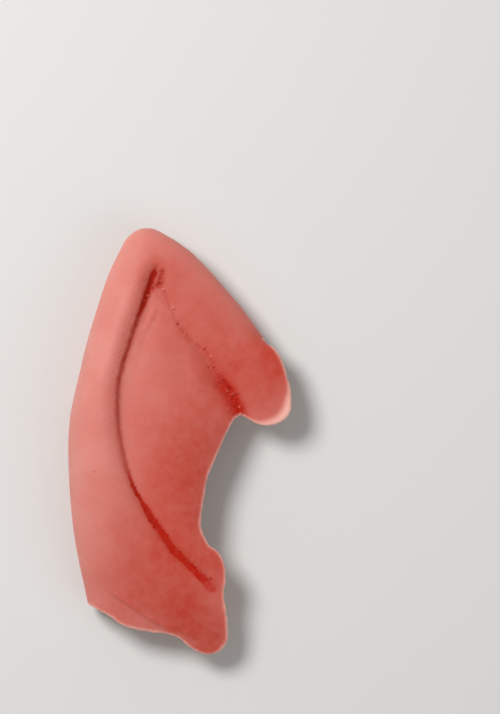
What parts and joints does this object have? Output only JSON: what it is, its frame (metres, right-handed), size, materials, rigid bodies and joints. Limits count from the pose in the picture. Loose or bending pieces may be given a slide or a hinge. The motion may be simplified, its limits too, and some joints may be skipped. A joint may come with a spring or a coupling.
{
  "type": "elf ear tip",
  "caption": "Pointed elf ear tip of thin hollow latex with a rolled rim, creased inner face, front lobe and an open back that slips over the wearer's own ear.",
  "frame": {"origin": "middle of the bounding box's underside, on the surface that the ear's flat back rests on", "axes": "+Z from the back towards the ear's outer side, +Y towards the point, +X towards the front of the wearer's head"},
  "size_m": [0.046, 0.088, 0.015],
  "materials": {
    "latex": "satin skin-pink latex with red paint rubbed into the creases"
  },
  "bodies": {
    "root": {"ear_shell": "latex"}
  },
  "joints": []
}
